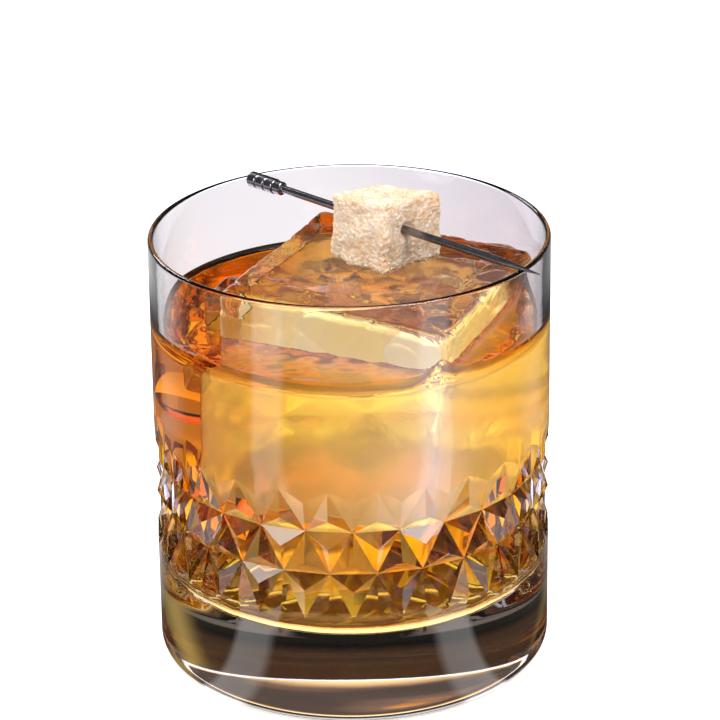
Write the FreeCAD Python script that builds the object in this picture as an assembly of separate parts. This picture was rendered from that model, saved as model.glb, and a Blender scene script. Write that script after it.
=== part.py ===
"""A godfather cocktail in a cut-crystal old-fashioned tumbler.

Clear ice stands in the drink, and a steel cocktail pick with a brown sugar cube lies over the rim.
Millimetres, +Z up. The origin is the centre of the ring that the tumbler stands on.
X and Y span the table, and the viewer's side is -Y.
"""
import FreeCAD, Part
import math
import os

# ---- tumbler ----
glass_radius = 42.0  # outside, straight from heel to lip
glass_height = 93.8
lip_wall = 1.3  # wall thickness at the lip, which is fully rounded
foot_wall = 4.0  # wall thickness where the tapering inside would meet the floor
base_thickness = 18.0  # the heavy base under the drink
floor_round = 8.0  # radius between the inside wall and the floor
heel_round = 3.4  # radius round the foot
foot_ring_width = 5.1  # flat ring that the tumbler stands on
punt_depth = 1.2  # shallow hollow inside that ring

# ---- cut band: rows of mitred grooves that leave three-sided points between them ----
cut_columns = 26
cut_bottom = 24.7  # height of the lowest groove ends
cut_row_height = 9.5
cut_depth = 1.8  # how deep the groove crossings lie
cut_end_depth = 0.06  # what is left of that depth where a groove runs out
cut_scallop = 2.4  # how far the band's edge dips between two groove ends
point_recess = 0.05  # the points stay this far under the blank's surface
cutter_overreach = 1.5  # how far the cutting shape passes the surface

# ---- drink ----
drink_below_lip = 17.1

# ---- big ice cube ----
ice_size = (50.0, 52.5)  # across the cube, to the right and to the back
ice_height = 45.0
ice_place = (6.2, -2.5)
ice_turn = -23.5  # degrees about the vertical
ice_lean = 3.6  # degrees, the right-hand side lower
ice_draft = 1.6  # each side is this much further in at the bottom, where it has melted more
ice_round = 2.6
ice_wall_gap = 0.3  # the ice has melted at least this far from the glass
dish_radius = 24.0  # shallow dish melted into the top, under the sugar cube
dish_depth = 2.1

# ---- ice slab behind the cube and ice shard at its left, both against the cube's sides ----
slab_size = (24.0, 7.0, 30.0)  # along the cube's side, away from it, high
slab_over_drink = 5.7
slab_shift = 8.0  # along the cube's side, to the right
slab_lean = 4.0
shard_size = (12.0, 4.9, 20.0)
shard_over_drink = 8.2
shard_shift = -17.0  # along the cube's side, to the front
shard_lean = 1.5
small_ice_round = 1.0

# ---- cocktail pick ----
rod_radius = 0.85
pick_turn = -44.6  # heading of the point, degrees
pick_offset = 7.8  # how far the rod's line passes from the tumbler's axis, to the back
rim_gap = 0.05  # between the point and the lip it lies on
point_overhang = 5.4  # the point beyond the lip
point_length = 13.0
point_tip_radius = 0.12
head_to_wall = 2.6  # from the head's end to the inside of the glass
head_length = 9.7
head_radius = 1.7
head_ribs = 3
rib_groove_depth = 0.28
rib_groove_width = 0.7
head_collar_length = 2.0  # smooth narrower collar between the ribs and the rod
head_collar_radius = 1.5
head_edge = 0.35

# ---- sugar cube ----
sugar_side = 17.8
sugar_height = 17.6
sugar_from_point = 35.8  # the face nearest the point, back from the point's tip
sugar_shift = (1.5, -0.3)  # middle of the cube, away from the rod: to the back, and up
sugar_top_slope = 10.0  # degrees, the rough-cut top falls to the back
sugar_round = 1.3
sugar_bore_gap = 0.1
sugar_seat_gap = 0.3  # between the sugar cube and the ice it stands on

drink_level = glass_height - drink_below_lip
UP = FreeCAD.Vector(0, 0, 1)
ORIGIN = FreeCAD.Vector(0, 0, 0)


def polar(radius, angle, height):
    """Point at an angle in radians, counted from the viewer's side to the right."""
    return FreeCAD.Vector(radius * math.sin(angle), -radius * math.cos(angle), height)


def heading(degrees):
    """Unit vector in the table's plane."""
    return FreeCAD.Vector(math.cos(math.radians(degrees)), math.sin(math.radians(degrees)), 0)


def revolved(edges):
    """Solid of revolution about Z of a closed profile in the XZ plane."""
    return Part.Face(Part.Wire(Part.__sortEdges__(edges))).revolve(ORIGIN, UP, 360)


def profile_point(radius, height):
    return FreeCAD.Vector(radius, 0, height)


def line(*points):
    """Straight profile edges through (radius, height) pairs."""
    ends = [profile_point(*p) for p in points]
    return [Part.makeLine(a, b) for a, b in zip(ends, ends[1:])]


def arc(start, middle, end):
    return Part.Arc(profile_point(*start), profile_point(*middle), profile_point(*end)).toShape()


# ---- tumbler ----
def wall_radius(height):
    """Inside radius of the tapering wall, above its rounded foot and below the lip's round."""
    lip_start = glass_height - lip_wall / 2
    rise = (height - base_thickness) / (lip_start - base_thickness)
    return glass_radius - foot_wall + (foot_wall - lip_wall) * rise


def cavity(top, gap=0.0):
    """The tumbler's inside from the floor up to a height, a gap away from the glass all round."""
    floor = base_thickness + gap
    rounding = floor_round - gap
    wall_tilt = math.atan(wall_radius(1) - wall_radius(0))
    # the arc at the foot touches the floor and the sloping wall
    centre_height = floor + rounding
    centre_radius = wall_radius(centre_height) - (rounding + gap) / math.cos(wall_tilt)

    def on_arc(angle):
        return (centre_radius + rounding * math.cos(angle), centre_height + rounding * math.sin(angle))

    floor_edge = on_arc(-math.pi / 2)
    wall_foot = on_arc(-wall_tilt)
    middle = on_arc(-(math.pi / 2 + wall_tilt) / 2)
    wall_top = (wall_radius(top) - gap / math.cos(wall_tilt), top)
    outline = line(wall_foot, wall_top, (0, top), (0, floor), floor_edge)
    return revolved([arc(floor_edge, middle, wall_foot)] + outline)


def blank():
    """The uncut tumbler: outside with a rounded heel and lip, less the cavity and the hollow underneath."""
    lip = lip_wall / 2
    slant = math.sqrt(0.5)
    lip_centre = (glass_radius - lip, glass_height - lip)
    outer_lip = (lip_centre[0] + lip, lip_centre[1])
    inner_lip = (lip_centre[0] - lip, lip_centre[1])
    crest = (lip_centre[0], glass_height)
    heel_centre = (glass_radius - heel_round, heel_round)
    heel_inner = (heel_centre[0], 0)
    heel_outer = (glass_radius, heel_centre[1])
    heel_middle = (heel_centre[0] + heel_round * slant, heel_centre[1] - heel_round * slant)
    outline = line((0, 0), heel_inner) + [arc(heel_inner, heel_middle, heel_outer)]
    outline += line(heel_outer, outer_lip)
    outline.append(arc(outer_lip, (lip_centre[0] + lip * slant, lip_centre[1] + lip * slant), crest))
    outline.append(arc(crest, (lip_centre[0] - lip * slant, lip_centre[1] + lip * slant), inner_lip))
    outline += line(inner_lip, (0, inner_lip[1]), (0, 0))

    punt_radius = glass_radius - heel_round - foot_ring_width
    ball_radius = (punt_radius**2 + punt_depth**2) / (2 * punt_depth)
    punt = Part.makeSphere(ball_radius, FreeCAD.Vector(0, 0, punt_depth - ball_radius))
    return revolved(outline).cut([cavity(inner_lip[1]), punt])


# ---- cut band ----
# Groove crossings lie in four rows, each row half a column round from the next. A step is half a
# column: rows 0 and 2 have their crossings at even steps, rows 1 and 3 at odd ones.
half_column = math.pi / cut_columns
cut_rows = [
    (glass_radius - (cut_end_depth if row in (0, 3) else cut_depth), cut_bottom + row * cut_row_height)
    for row in range(4)
]


def crossing(row, step):
    radius, height = cut_rows[row]
    return polar(radius, step * half_column, height)


def has_crossing(row, step):
    return (step + row) % 2 == 0


def flat(*corners):
    return Part.Face(Part.makePolygon([*corners, corners[0]]))


def three_sided_point(a, b, c):
    """Three flats that meet in a tip over the middle of three crossings, just under the surface."""
    middle = (a + b + c) * (1 / 3)
    reach = (glass_radius - point_recess) / math.hypot(middle.x, middle.y)
    tip = FreeCAD.Vector(middle.x * reach, middle.y * reach, middle.z)
    return [flat(a, b, tip), flat(b, c, tip), flat(c, a, tip)]


def points_between(lower, upper):
    """The points between two rows that stand on a pair of crossings of one of the deep rows."""
    flats = []
    for step in range(2 * cut_columns):
        single, pair = (lower, upper) if has_crossing(lower, step) else (upper, lower)
        if pair in (1, 2):
            base = crossing(pair, step - 1), crossing(pair, step + 1)
            flats += three_sided_point(*base, crossing(single, step))
    return flats


def beyond(a, b, c, step):
    """Where the plane through a, b and c meets the upright line at a step, outside the tumbler."""
    normal = (b - a).cross(c - a)
    foot = polar(glass_radius + cutter_overreach, step * half_column, 0)
    height = normal.dot(a - foot) / normal.z
    return foot + UP * height


def scalloped_edge(row, inner_row):
    """Flats that rise from the inner row's crossings to one edge of the band.

    Each flat holds a groove from its crossing to its end in this row, and the lowest place of the
    scallop over the crossing. Also gives the flats' outermost corners, by step.
    """
    flats = []
    rim = {}
    inward = cut_scallop if inner_row > row else -cut_scallop
    for step in range(2 * cut_columns):
        if not has_crossing(row, step):
            continue
        end = crossing(row, step)
        for beside in (step - 1, step + 1):
            start = crossing(inner_row, beside)
            low = polar(glass_radius, beside * half_column, cut_rows[row][1] + inward)
            rim[step % (2 * cut_columns)] = beyond(start, end, low, step)
            rim[beside % (2 * cut_columns)] = beyond(start, end, low, beside)
            flats.append(flat(start, end, beyond(start, end, low, step), beyond(start, end, low, beside)))
    return flats, rim


def cutter():
    """Closed ring round the tumbler whose inner side is the whole cut surface."""
    bottom, bottom_rim = scalloped_edge(0, 1)
    top, top_rim = scalloped_edge(3, 2)
    flats = bottom + points_between(0, 1) + points_between(1, 2) + points_between(2, 3) + top
    for step in range(2 * cut_columns):
        following = (step + 1) % (2 * cut_columns)
        flats.append(flat(bottom_rim[step], bottom_rim[following], top_rim[following], top_rim[step]))
    shell = Part.Shell(flats)
    shell.sewShape()
    ring = Part.Solid(shell)
    if ring.Volume < 0:
        ring.reverse()
    return ring


def tumbler():
    return blank().cut(cutter())


# ---- ice ----
def drafted_block(length, width, height, draft, rounding):
    """Block with its top face centred on the origin, each side further in at the bottom."""
    x, y = length / 2, width / 2
    # a wedge narrows along Y, so it is made lying and then stood up
    block = Part.makeWedge(-x + draft, -height, -y + draft, -y, -x,
                           x - draft, 0, y - draft, y, x)
    block.rotate(ORIGIN, FreeCAD.Vector(1, 0, 0), 90)
    return block.makeFillet(rounding, block.Edges)


def inside_glass(block):
    """What is left of a block of ice after it has melted clear of the glass."""
    return block.common(cavity(glass_height + ice_height, ice_wall_gap))


def melting_ball(sugar):
    """Ball whose underside shapes the dish, as low as the sugar cube's corners let it be."""
    radius = (dish_radius**2 + dish_depth**2) / (2 * dish_depth)
    middle = sugar.BoundBox.Center
    tops = []
    for corner in sugar.Vertexes:
        aside = math.hypot(corner.Point.x - middle.x, corner.Point.y - middle.y)
        tops.append(corner.Point.z - sugar_seat_gap + math.sqrt(radius**2 - aside**2))
    return FreeCAD.Vector(middle.x, middle.y, min(tops)), radius


def ice_cube(sugar):
    """Big cube that leans to the right, with the sugar cube standing in the dish in its top."""
    ball_centre, ball_radius = melting_ball(sugar)
    slope = math.tan(math.radians(ice_lean))
    place = FreeCAD.Vector(*ice_place, 0)
    top_over_dish = ball_centre.z - ball_radius + dish_depth
    place.z = top_over_dish + slope * heading(ice_turn).dot(ball_centre - place)
    cube = drafted_block(*ice_size, ice_height, ice_draft, ice_round)
    cube.rotate(ORIGIN, FreeCAD.Vector(0, 1, 0), ice_lean)
    cube.rotate(ORIGIN, UP, ice_turn)
    cube.translate(place)
    return inside_glass(cube).cut(Part.makeSphere(ball_radius, ball_centre))


def side_ice(size, over_drink, shift, lean, cube_half, outward, cube):
    """Small block with its inner side frozen to one of the cube's sides, half a cube from its middle."""
    length, width, height = size
    block = drafted_block(length, width, height, 0, small_ice_round)
    block.rotate(ORIGIN, FreeCAD.Vector(1, 0, 0), -lean)
    block.translate(FreeCAD.Vector(shift, cube_half + width / 2, 0))
    block.rotate(ORIGIN, UP, outward - 90)
    block.translate(FreeCAD.Vector(*ice_place, drink_level + over_drink))
    return inside_glass(block).cut(cube)


# ---- cocktail pick ----
def pick_frame():
    """Placement that takes the pick's own axis, +X with the tip at the origin, to where it lies."""
    along = heading(pick_turn)
    foot = FreeCAD.Vector(-along.y, along.x, 0) * pick_offset
    lip_radius = glass_radius - lip_wall / 2
    crossing = foot + along * math.sqrt(lip_radius**2 - pick_offset**2)
    tip = crossing + along * point_overhang
    # it lies on the lip with its long point, which is thinner there than the rod
    lip_share = min(1, point_overhang / point_length)
    radius_on_lip = point_tip_radius + (rod_radius - point_tip_radius) * lip_share
    tip.z = glass_height + rim_gap + radius_on_lip
    return FreeCAD.Placement(tip, FreeCAD.Rotation(UP, pick_turn))


def pick():
    """Round rod with a long point, and a ribbed head with a collar."""
    lip_reach = math.sqrt((glass_radius - lip_wall / 2) ** 2 - pick_offset**2)
    wall_reach = math.sqrt((glass_radius - lip_wall - head_to_wall) ** 2 - pick_offset**2)
    length = point_overhang + lip_reach + wall_reach
    rod_start = head_length - length
    ribs_start = head_edge - length
    ribs_end = rod_start - head_collar_length
    rib_pitch = (ribs_end - ribs_start) / head_ribs
    groove_radius = head_radius - rib_groove_depth
    outline = [(0, 0), (point_tip_radius, 0), (rod_radius, -point_length), (rod_radius, rod_start),
               (head_collar_radius, rod_start), (head_collar_radius, ribs_end)]
    for rib in range(head_ribs, 0, -1):
        front = ribs_start + rib * rib_pitch
        back = front - rib_pitch
        outline += [(groove_radius, front - rib_groove_width / 4),
                    (head_radius, front - rib_groove_width / 2),
                    (head_radius, back + rib_groove_width / 2),
                    (groove_radius, back + rib_groove_width / 4)]
    outline += [(head_radius - head_edge, -length), (0, -length), (0, 0)]
    solid = revolved(line(*outline))
    solid.rotate(ORIGIN, FreeCAD.Vector(0, 1, 0), 90)
    solid.Placement = pick_frame().multiply(solid.Placement)
    return solid


# ---- sugar cube ----
def sugar_cube():
    """Rough-cut cube threaded on the rod, with a sloping top."""
    half = sugar_side / 2
    corner = FreeCAD.Vector(-half, -half, -sugar_height / 2)
    block = Part.makeBox(sugar_side, sugar_side, sugar_height, corner)
    # the top keeps its height at the viewer's corner and falls to the corner behind it
    viewer_corner = FreeCAD.Vector(half, -half, sugar_height / 2)
    span = 3 * sugar_side
    off_top = Part.makeBox(span, span, sugar_height, FreeCAD.Vector(-span / 2, -span / 2, 0))
    off_top.rotate(ORIGIN, FreeCAD.Vector(-1, -1, 0), sugar_top_slope)
    off_top.translate(viewer_corner)
    block = block.cut(off_top)
    block = block.makeFillet(sugar_round, block.Edges)
    bore_start = FreeCAD.Vector(-sugar_side, -sugar_shift[0], -sugar_shift[1])
    bore = Part.makeCylinder(rod_radius + sugar_bore_gap, 2 * sugar_side, bore_start, FreeCAD.Vector(1, 0, 0))
    block = block.cut(bore)
    block.translate(FreeCAD.Vector(-sugar_from_point - half, sugar_shift[0], sugar_shift[1]))
    block.Placement = pick_frame().multiply(block.Placement)
    return block


def build():
    sugar = sugar_cube()
    cube = ice_cube(sugar)
    half_across, half_back = ice_size[0] / 2, ice_size[1] / 2
    slab = side_ice(slab_size, slab_over_drink, slab_shift, slab_lean, half_back, ice_turn + 90, cube)
    shard = side_ice(shard_size, shard_over_drink, shard_shift, shard_lean, half_across, ice_turn + 180, cube)
    return {
        "glass": tumbler(),
        "drink": cavity(drink_level).cut([cube, slab, shard]),
        "ice_cube": cube,
        "ice_slab": slab,
        "ice_shard": shard,
        "pick": pick(),
        "sugar_cube": sugar,
    }


os.makedirs("parts", exist_ok=True)
for name, shape in build().items():
    shape.exportStep(f"parts/{name}.step")
    print(name, "valid", shape.isValid(), "solids", len(shape.Solids), "mm3", round(shape.Volume))
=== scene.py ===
"""Godfather cocktail: the looks of the cut-crystal tumbler, its drink, ice, sugar cube and pick.

Metres, +Z up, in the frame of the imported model. The viewer's side is -Y.
"""
import math

import bmesh
import bpy
import numpy as np
from bpy.props import FloatProperty, FloatVectorProperty, IntProperty, PointerProperty
from mathutils import Matrix, Vector


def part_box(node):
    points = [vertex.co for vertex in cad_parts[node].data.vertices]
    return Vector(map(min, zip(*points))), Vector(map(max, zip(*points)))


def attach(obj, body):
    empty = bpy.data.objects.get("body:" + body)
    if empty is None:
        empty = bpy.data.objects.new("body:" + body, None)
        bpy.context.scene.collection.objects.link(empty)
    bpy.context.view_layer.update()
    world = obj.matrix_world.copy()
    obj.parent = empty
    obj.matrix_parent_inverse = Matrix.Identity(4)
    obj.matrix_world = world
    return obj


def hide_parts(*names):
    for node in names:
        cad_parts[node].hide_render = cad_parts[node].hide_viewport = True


bl_info = {
    "name": "Godfather Cocktail",
    "version": (1, 0, 0),
    "blender": (4, 5, 0),
    "location": "3D View > Sidebar > Cocktail",
    "description": "Makes the tumbler, drink, ice, sugar cube, pick and stage",
    "category": "Object",
}

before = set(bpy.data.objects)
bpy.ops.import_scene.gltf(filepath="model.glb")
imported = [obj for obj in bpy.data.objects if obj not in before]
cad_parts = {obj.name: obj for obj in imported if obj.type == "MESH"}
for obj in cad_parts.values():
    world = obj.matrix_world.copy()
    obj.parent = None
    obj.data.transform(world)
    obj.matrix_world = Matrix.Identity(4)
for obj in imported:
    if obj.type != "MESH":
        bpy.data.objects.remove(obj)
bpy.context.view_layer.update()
glass_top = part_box("glass")[1]
drink_low, drink_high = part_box("drink")

RADIUS = glass_top.x
HEIGHT = glass_top.z
FLOOR = drink_low.z
LEVEL = drink_high.z
MM = 0.001


# ---- mesh helpers ----
def grid_quads(rows, columns, wrap=True, start=0):
    """Quads between neighbouring points of a grid; with wrap the last column joins the first."""
    i = np.arange(rows - 1)[:, None]
    j = np.arange(columns if wrap else columns - 1)[None, :]
    a = start + i * columns + j
    b = start + i * columns + (j + 1) % columns
    return np.stack([a, b, b + columns, a + columns], -1).reshape(-1, 4)


def round_axis(radius, angle, height):
    """Points at a radius and height: x is the radius times the angle's sine, y is less the radius times its cosine."""
    return np.stack(np.broadcast_arrays(radius * np.sin(angle), -radius * np.cos(angle), height), -1)


def revolved(profile, angles):
    """Grid of points: each (radius, height) of the profile turned through every angle about Z."""
    return round_axis(profile[:, :1], angles, profile[:, 1:])


def arc(centre, radius, start, stop, count):
    """(radius, height) points on a circle in the profile's plane, angles in degrees from outward."""
    angle = np.radians(np.linspace(start, stop, count))
    return np.stack([centre[0] + radius * np.cos(angle), centre[1] + radius * np.sin(angle)], -1)


def mended(mesh, weld, sliver):
    """Joins points closer than weld with all faces turned outward, then closes faces thinner than sliver; 0 skips either."""
    work = bmesh.new()
    work.from_mesh(mesh)
    if weld:
        bmesh.ops.remove_doubles(work, verts=work.verts, dist=weld)
    if sliver:
        bmesh.ops.dissolve_degenerate(work, edges=work.edges, dist=sliver)
    if weld:
        bmesh.ops.recalc_face_normals(work, faces=work.faces)
    work.to_mesh(mesh)
    work.free()


def mesh_object(name, points, faces, smooth=True, weld=0.001 * MM):
    """A mesh from an array of points and a list of face arrays, with its seams and poles closed."""
    mesh = bpy.data.meshes.new(name)
    mesh.from_pydata(points.reshape(-1, 3).tolist(), [], [f for part in faces for f in part.tolist()])
    mesh.polygons.foreach_set("use_smooth", np.broadcast_to(smooth, len(mesh.polygons)).copy())
    if weld:
        mended(mesh, weld, weld / 4)
    mesh.update()
    thing = bpy.data.objects.new(name, mesh)
    bpy.context.scene.collection.objects.link(thing)
    return thing


def finish_piece(thing, material, slot, *nodes):
    """Gives a piece its material and hands it to the frame: its body and the CAD nodes it stands for, which are hidden.
    The slot is not used.
    """
    thing.data.materials.clear()
    thing.data.materials.append(material)
    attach(thing, "root")
    if nodes:
        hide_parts(*nodes)


def points_of(thing):
    """A mesh's points as an array."""
    points = np.zeros(len(thing.data.vertices) * 3)
    thing.data.vertices.foreach_get("co", points)
    return points.reshape(-1, 3)


def swollen(thing, amount):
    """Points of a mesh moved along their own normals by an amount."""
    normals = np.zeros(len(thing.data.vertices) * 3)
    thing.data.vertices.foreach_get("normal", normals)
    return points_of(thing) + amount * normals.reshape(-1, 3)


def set_points(thing, points):
    """Moves a mesh's points to those of an array."""
    thing.data.vertices.foreach_set("co", points.reshape(-1))
    thing.data.update()


def cut_away(thing, tools, shrink):
    """Takes other pieces, each made smaller by shrink, away from a piece, so that they overlap by that much."""
    for tool in tools:
        copy = tool.copy()
        copy.data = tool.data.copy()
        bpy.context.scene.collection.objects.link(copy)
        set_points(copy, swollen(tool, -shrink))
        boolean = thing.modifiers.new("cut", "BOOLEAN")
        boolean.operation = "DIFFERENCE"
        boolean.solver = "EXACT"
        boolean.object = copy
        bpy.context.view_layer.update()
        result = bpy.data.meshes.new_from_object(thing.evaluated_get(bpy.context.evaluated_depsgraph_get()))
        thing.modifiers.clear()
        old, thing.data = thing.data, result
        bpy.data.meshes.remove(old)
        bpy.data.objects.remove(copy)
    mended(thing.data, 0, 0.002 * MM)
    thing.data.name = thing.name


def waves(points, wavelength, seed, count=14):
    """Smooth noise between about -1 and 1: a sum of sine waves in random directions."""
    rng = np.random.default_rng(seed)
    direction = unit(rng.normal(size=(count, 3)))
    number = 2 * math.pi / (wavelength * rng.uniform(0.7, 1.6, count))
    phase = rng.uniform(0, 2 * math.pi, count)
    return np.sin(points @ (direction * number[:, None]).T + phase).sum(-1) / math.sqrt(count)


def rounded_block(size, rounding, cells):
    """Points and quads of a box centred on the origin whose edges are rounded.

    Every point of an evenly gridded box is split into the nearest point of a core, which is the box
    less the rounding on each side, and the rest; the rest is given the rounding's length.
    """
    half = np.array(size) / 2
    # closer lines near the edges, where the surface turns
    line = np.sin(np.linspace(-1, 1, cells + 1) * math.pi / 2)
    line = 0.55 * line + 0.45 * np.linspace(-1, 1, cells + 1)
    u, v = np.meshgrid(line, line, indexing="ij")
    points, faces = [], []
    for axis in range(3):
        for side in (-1, 1):
            patch = np.empty(u.shape + (3,))
            patch[..., axis] = side
            patch[..., (axis + 1) % 3] = u * side
            patch[..., (axis + 2) % 3] = v
            faces.append(grid_quads(cells + 1, cells + 1, False, len(points) * u.size))
            points.append(patch * half)
    points = np.array(points).reshape(-1, 3)
    core = np.clip(points, rounding - half, half - rounding)
    return core + rounding * unit(points - core), faces


def unit(vectors):
    """Each vector divided by its length."""
    return vectors / np.linalg.norm(vectors, axis=1)[:, None]


def turned(points, axis, degrees):
    """Points turned about an axis through the origin."""
    return points @ np.array(Matrix.Rotation(math.radians(degrees), 3, axis)).T


# ---- shader helpers ----
class Value:
    """An output socket; Python's arithmetic on it adds Math nodes."""

    def __init__(self, finish, socket):
        self.finish = finish
        self.socket = socket

    def maths(self, operation, *values):
        inputs = dict(enumerate(values))
        return self.finish.node("ShaderNodeMath", {"operation": operation}, inputs)["Value"]

    def __add__(self, other):
        return self.maths("ADD", self, other)

    def __mul__(self, other):
        return self.maths("MULTIPLY", self, other)

    def __sub__(self, other):
        return self.maths("SUBTRACT", self, other)

    def __rsub__(self, other):
        return self.maths("SUBTRACT", other, self)

    def __truediv__(self, other):
        return self.maths("DIVIDE", self, other)

    def __rtruediv__(self, other):
        return self.maths("DIVIDE", other, self)

    __radd__ = __add__
    __rmul__ = __mul__


class Added:
    """A node that was added; its outputs come by name."""

    def __init__(self, finish, node):
        self.finish = finish
        self.raw = node

    def __getitem__(self, name):
        return Value(self.finish, self.raw.outputs[name])


class Finish:
    """The node tree of a material or of the world."""

    def __init__(self, name, owner=None):
        self.owner = owner or bpy.data.materials.new(name)
        self.owner.use_nodes = True
        self.tree = self.owner.node_tree
        self.tree.nodes.clear()

    def node(self, kind, settings=None, inputs=None):
        """Adds a node: its settings first, a ramp's stops among them, then its sockets' values or links."""
        raw = self.tree.nodes.new(kind)
        for name, value in (settings or {}).items():
            if name == "stops":
                elements = raw.color_ramp.elements
                while len(elements) < len(value):
                    elements.new(0.5)
                for element, (position, colour) in zip(elements, value):
                    element.position = position
                    element.color = colour_of(colour)
            else:
                setattr(raw, name, value)
        for name, value in (inputs or {}).items():
            socket = raw.inputs[name]
            if isinstance(value, Value):
                self.tree.links.new(value.socket, socket)
            else:
                socket.default_value = value
        return Added(self, raw)

    def place(self):
        """Object coordinates, in metres."""
        return self.node("ShaderNodeTexCoord")["Object"]

    def noise(self, scale, detail=3.0, roughness=0.55, where=None):
        """Noise between 0 and 1, scale swells to the metre."""
        inputs = {"Vector": where or self.place(), "Scale": scale, "Detail": detail, "Roughness": roughness}
        return self.node("ShaderNodeTexNoise", None, inputs)["Fac"]

    def ramp(self, value, *stops):
        """Colour by value through (position, colour) stops."""
        return self.node("ShaderNodeValToRGB", {"stops": stops}, {"Fac": value})["Color"]

    def rise(self, value, start, stop):
        """0 up to start, 1 from stop, and a straight line between; with start past stop it falls."""
        low, high = (start, stop) if start < stop else (stop, start)
        return self.ramp(value, (low, float(start > stop)), (high, float(start < stop)))

    def axes(self, vector):
        """A vector's parts, by the names X, Y and Z."""
        return self.node("ShaderNodeSeparateXYZ", None, {"Vector": vector})

    def smooth(self, value, start, stop):
        """0 at start and 1 at stop, easing in and out."""
        inputs = {"Value": value, "From Min": start, "From Max": stop}
        return self.node("ShaderNodeMapRange", {"interpolation_type": "SMOOTHSTEP"}, inputs)["Result"]

    def vector(self, operation, *vectors, out="Vector"):
        """Vector maths."""
        return self.node("ShaderNodeVectorMath", {"operation": operation}, dict(enumerate(vectors)))[out]

    def mixed(self, factor, first, second, blend="MIX"):
        """Two colours blended by a factor."""
        node = self.node("ShaderNodeMix", {"data_type": "RGBA", "blend_type": blend})
        for index, value in ((0, factor), (6, first), (7, second)):
            if isinstance(value, Value):
                self.tree.links.new(value.socket, node.raw.inputs[index])
            else:
                node.raw.inputs[index].default_value = colour_of(value) if index else value
        return Value(self, node.raw.outputs[2])

    def bump(self, height, strength, distance):
        """A normal bent by a height."""
        inputs = {"Height": height, "Strength": strength, "Distance": distance}
        return self.node("ShaderNodeBump", None, inputs)["Normal"]

    def surface(self, **sockets):
        """Principled surface, with sockets named in words joined by underscores."""
        inputs = {name.replace("_", " "): value for name, value in sockets.items()}
        return self.node("ShaderNodeBsdfPrincipled", None, inputs)["BSDF"]

    def output(self, surface, volume=None, kind="ShaderNodeOutputMaterial"):
        """Ends the tree and returns the material or world."""
        inputs = {"Surface": surface}
        if volume:
            inputs["Volume"] = volume
        self.node(kind, None, inputs)
        return self.owner


def colour_of(value):
    """A socket's colour from one number for a grey, or from red, green and blue; the alpha is 1."""
    parts = tuple(value) if hasattr(value, "__len__") else (value,) * 3
    return (*parts, 1.0)


# ---- settings ----
def length_setting(name, description, default):
    """A setting in metres."""
    return FloatProperty(name=name, description=description, default=default, unit="LENGTH")


def colour_setting(name, description, default):
    """A setting that is a colour."""
    return FloatVectorProperty(name=name, description=description, default=default, subtype="COLOR")


class CocktailTumbler(bpy.types.PropertyGroup):
    lip_wall: length_setting("Lip wall", "Wall thickness at the rounded lip", 1.3 * MM)
    foot_wall: length_setting("Foot wall", "Wall thickness where the tapering inside would meet the floor", 4 * MM)
    floor_round: length_setting("Floor round", "Radius between inside wall and floor", 8 * MM)
    heel_round: length_setting("Heel round", "Radius round the foot", 3.4 * MM)
    foot_ring: length_setting("Foot ring", "Width of the flat ring the tumbler stands on", 5.1 * MM)
    punt_depth: length_setting("Punt depth", "Depth of the hollow under the base", 1.2 * MM)
    cut_columns: IntProperty(name="Cut columns", description="Groove crossings in each row round the band", default=26)
    cut_bottom: length_setting("Cut bottom", "Height of the lowest groove ends", 24.7 * MM)
    cut_row: length_setting("Cut row", "Height from one row of crossings to the next", 9.5 * MM)
    cut_depth: length_setting("Cut depth", "Depth of the groove crossings", 1.8 * MM)
    cut_scallop: length_setting("Scallop", "Dip of the band's edge between two groove ends", 2.4 * MM)
    tint: colour_setting("Tint", "Colour of the crystal", (0.992, 0.99, 0.993))


class CocktailDrink(bpy.types.PropertyGroup):
    reach: length_setting("Reach", "How far the drink reaches into the wall, so that no air gap shows", 0.08 * MM)
    meniscus: length_setting("Meniscus", "Rise of the drink at the glass and the ice", 0.6 * MM)
    climb: length_setting("Climb", "Rise in a narrow gap between ice and wall", 5.0 * MM)
    meniscus_width: length_setting("Meniscus width", "How far the rise reaches out", 1.0 * MM)
    colour: colour_setting("Colour", "Colour that the drink lets through", (0.972, 0.84, 0.16))
    strength: FloatProperty(name="Strength", description="Absorption per metre", default=150.0)


class CocktailIce(bpy.types.PropertyGroup):
    size: FloatVectorProperty(
        name="Size", description="Big cube: across, to the back, high", default=(50 * MM, 52.5 * MM, 45 * MM), unit="LENGTH",
    )
    place: FloatVectorProperty(
        name="Place", description="Middle of the big cube's top", default=(6.2 * MM, -2.5 * MM, 86.2 * MM), unit="LENGTH",
    )
    turn: FloatProperty(name="Turn", description="Turn about the vertical, degrees", default=-23.5)
    lean: FloatProperty(name="Lean", description="Lean to the right, degrees", default=3.6)
    draft: length_setting("Draft", "Each side is further in at the bottom by this much", 1.6 * MM)
    rounding: length_setting("Rounding", "Radius of the melted edges", 2.2 * MM)
    wall_gap: length_setting("Wall gap", "Melted clear of the glass by this much", 0.3 * MM)
    # painted glow: light the ice gives off below the drink's surface, standing in for light that cloudy ice scatters
    scatter: FloatProperty(name="Glow", description="Light scattered by the cloudy ice below the surface", default=0.39)
    crease: length_setting("Crease", "Depth of the melt creases near the top", 0.7 * MM)
    unevenness: length_setting("Unevenness", "Height of the melted waves", 0.35 * MM)


class CocktailSugar(bpy.types.PropertyGroup):
    side: length_setting("Side", "Side of the sugar cube", 17.8 * MM)
    height: length_setting("Height", "Height at the viewer's corner", 17.6 * MM)
    grain: length_setting("Grain", "Size of the crystals", 0.85 * MM)
    pale: colour_setting("Pale", "Colour of the pale crystals", (0.92, 0.76, 0.60))
    brown: colour_setting("Brown", "Colour of the brown crystals", (0.76, 0.46, 0.24))


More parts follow.
